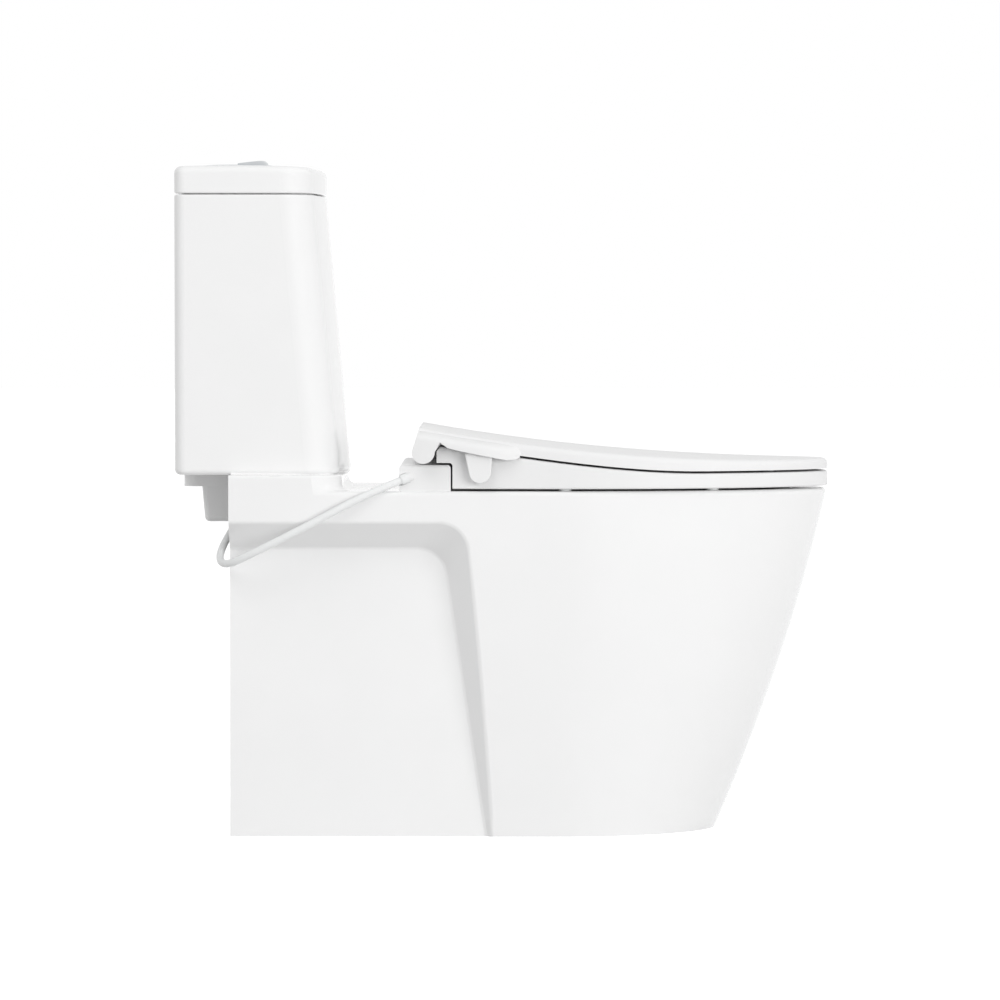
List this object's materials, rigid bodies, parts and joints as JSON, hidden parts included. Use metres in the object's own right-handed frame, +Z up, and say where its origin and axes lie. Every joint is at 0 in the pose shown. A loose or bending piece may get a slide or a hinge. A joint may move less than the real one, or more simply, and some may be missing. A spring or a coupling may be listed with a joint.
{
  "type": "toilet with bidet seat",
  "caption": "White close-coupled floor toilet with skirted pan, lift-off tank cover with split push button, and a manual bidet seat with lid, side lever and water hose.",
  "frame": {"origin": "on the floor under the axis of the drain outlet", "axes": "+X to the front of the bowl, +Y to the sitter's left, +Z up"},
  "size_m": [0.7412, 0.3698, 0.7641],
  "materials": {
    "glazed_white": "gloss",
    "seat_white": "gloss",
    "chrome_trim": "polished",
    "valve_white": "satin",
    "black_rubber": "matte",
    "clear_bumper": "satin",
    "steel": "satin",
    "plated_brass": "polished",
    "hose_white": "satin"
  },
  "bodies": {
    "toilet": {"pan": "glazed_white", "bowl": "glazed_white", "sump": "glazed_white", "trapway": "glazed_white", "inlet_chamber": "glazed_white", "tank": "glazed_white", "flush_body": "valve_white", "rocker_pins": "steel", "flush_washer": "black_rubber", "flush_nut": "valve_white", "tank_gasket": "black_rubber", "fill_body": "valve_white", "fill_washer": "black_rubber", "fill_nut": "valve_white", "supply_tee": "plated_brass", "hose_nut_tee": "hose_white", "tank_bolts": "steel", "tank_bolt_washers": "black_rubber", "tank_bolt_nuts": "steel", "bidet_base": "seat_white", "mounting_plate": "steel", "seat_bolts": "steel", "seat_bolt_nuts": "valve_white", "hinge_pins": "steel", "hose_nut_seat": "hose_white", "control_arm": "seat_white", "hose": "hose_white"},
    "tank_cover": {"tank_lid": "glazed_white", "button_bezel": "chrome_trim", "button_nut": "valve_white"},
    "full_button": {"full_button": "chrome_trim", "full_rod": "valve_white"},
    "half_button": {"half_button": "chrome_trim", "half_rod": "valve_white"},
    "full_rocker": {"full_rocker": "valve_white"},
    "half_rocker": {"half_rocker": "valve_white"},
    "flush_bell": {"flush_bell": "valve_white", "flush_seal": "black_rubber"},
    "float": {"float": "valve_white", "float_rod": "valve_white"},
    "lever": {"lever": "seat_white"},
    "nozzle_rear": {"nozzle_rear": "valve_white"},
    "nozzle_front": {"nozzle_front": "valve_white"},
    "seat": {"seat": "seat_white", "seat_bumpers": "clear_bumper"},
    "lid": {"lid": "seat_white", "lid_bumpers": "clear_bumper"}
  },
  "joints": [
    {"name": "tank_cover_lift", "type": "slide", "parent": "toilet", "child": "tank_cover", "axis": [0, 0, 1], "range_m": [0, 0.15]},
    {"name": "full_press", "type": "slide", "parent": "tank_cover", "child": "full_button", "axis": [0, 0, -1], "range_m": [0, 0.006], "stiffness_N_per_m": 900, "springref_m": -0.004},
    {"name": "half_press", "type": "slide", "parent": "tank_cover", "child": "half_button", "axis": [0, 0, -1], "range_m": [0, 0.006], "stiffness_N_per_m": 900, "springref_m": -0.004},
    {"name": "full_rock", "type": "hinge", "parent": "toilet", "child": "full_rocker", "pos_m": [-0.204, 0, 0.664], "axis": [0, -1, 0], "range_deg": [0, 33]},
    {"name": "half_rock", "type": "hinge", "parent": "toilet", "child": "half_rocker", "pos_m": [-0.256, 0, 0.664], "axis": [0, 1, 0], "range_deg": [0, 33]},
    {"name": "bell_lift", "type": "slide", "parent": "toilet", "child": "flush_bell", "axis": [0, 0, 1], "range_m": [0, 0.0098]},
    {"name": "float_drop", "type": "slide", "parent": "toilet", "child": "float", "axis": [0, 0, 1], "range_m": [-0.06, 0]},
    {"name": "lever_swing", "type": "hinge", "parent": "toilet", "child": "lever", "pos_m": [0.046, -0.18275, 0.433], "axis": [0, 1, 0], "range_deg": [-30, 30]},
    {"name": "nozzle_rear_slide", "type": "slide", "parent": "toilet", "child": "nozzle_rear", "axis": [0.9903, 0, -0.1392], "range_m": [0, 0.045], "stiffness_N_per_m": 40, "springref_m": -0.01},
    {"name": "nozzle_front_slide", "type": "slide", "parent": "toilet", "child": "nozzle_front", "axis": [0.9903, 0, -0.1392], "range_m": [0, 0.045], "stiffness_N_per_m": 40, "springref_m": -0.01},
    {"name": "seat_hinge", "type": "hinge", "parent": "toilet", "child": "seat", "pos_m": [-0.016, 0, 0.434], "axis": [0, 1, 0], "range_deg": [-95, 0]},
    {"name": "lid_hinge", "type": "hinge", "parent": "seat", "child": "lid", "pos_m": [-0.016, 0, 0.434], "axis": [0, -1, 0], "range_deg": [0, 95]}
  ],
  "couplings": [
    {"joint": "full_rock", "follows": "full_press", "rad_per_m": 95.238},
    {"joint": "half_rock", "follows": "half_press", "rad_per_m": 95.238},
    {"joint": "bell_lift", "follows": "full_press", "ratio": 1.6}
  ]
}
